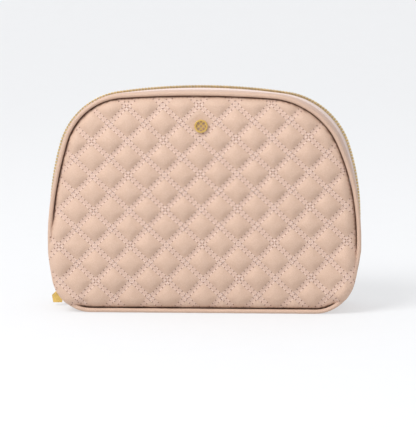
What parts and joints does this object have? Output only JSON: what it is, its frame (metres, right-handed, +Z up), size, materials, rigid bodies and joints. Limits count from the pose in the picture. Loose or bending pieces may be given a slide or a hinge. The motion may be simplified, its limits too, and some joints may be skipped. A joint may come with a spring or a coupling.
{
  "type": "makeup bag",
  "caption": "Quilted clamshell makeup bag with padded domed faces, piping, an arched metal zip that opens it, a small lattice badge and a soft base.",
  "frame": {"origin": "on the surface that the bag stands on, under the middle of its box", "axes": "+X along the bag's width, to the right seen from the front; +Z up; -Y is the front with the emblem"},
  "size_m": [0.249, 0.076, 0.1778],
  "materials": {
    "blush_leather": "soft grained, satin",
    "blush_trim_leather": "soft grained, satin",
    "foam": "matte",
    "lining_cloth": "matte woven",
    "binding_cloth": "matte woven",
    "zip_tape": "matte woven",
    "stiff_board": "matte",
    "zip_brass": "polished",
    "gold_plate": "polished",
    "washer_steel": "brushed"
  },
  "bodies": {
    "back_half": {"back_panel": "blush_leather", "back_piping": "blush_trim_leather", "back_zip_facing": "blush_trim_leather", "bottom_gusset": "blush_trim_leather", "back_padding": "foam", "back_lining": "lining_cloth", "back_wall_lining": "lining_cloth", "bottom_lining": "lining_cloth", "slip_pocket": "lining_cloth", "back_seam_binding": "binding_cloth", "pocket_binding": "binding_cloth", "back_zip_tape": "zip_tape", "base_board": "stiff_board", "back_zip_teeth": "zip_brass", "back_top_stop": "zip_brass", "zip_bottom_stop": "zip_brass"},
    "front_half": {"front_panel": "blush_leather", "front_padding": "foam", "front_lining": "lining_cloth", "front_piping": "blush_trim_leather", "front_seam_binding": "binding_cloth", "front_zip_facing": "blush_trim_leather", "front_zip_tape": "zip_tape", "front_wall_lining": "lining_cloth", "front_zip_teeth": "zip_brass", "front_top_stop": "zip_brass", "emblem": "gold_plate", "emblem_washer": "washer_steel"},
    "slider": {"slider_body": "gold_plate"},
    "link": {"pull_link": "gold_plate"},
    "tab": {"pull_tab": "gold_plate"}
  },
  "joints": [
    {"name": "front_open", "type": "hinge", "parent": "back_half", "child": "front_half", "pos_m": [0, -0.0303, 0.0017], "axis": [1, 0, 0], "range_deg": [0, 70], "deforming": ["front_zip_tape", "front_zip_teeth", "front_top_stop"]},
    {"name": "slider_travel", "type": "hinge", "parent": "back_half", "child": "slider", "pos_m": [0.077, 0, 0.073], "axis": [0, 1, 0], "range_deg": [0, 25]},
    {"name": "link_swing", "type": "hinge", "parent": "slider", "child": "link", "pos_m": [-0.1188, 0, 0.01943], "axis": [0, 1, 0], "range_deg": [0, 120]},
    {"name": "tab_swing", "type": "hinge", "parent": "link", "child": "tab", "pos_m": [-0.1188, 0, 0.01043], "axis": [0, 1, 0], "range_deg": [0, 60]}
  ]
}
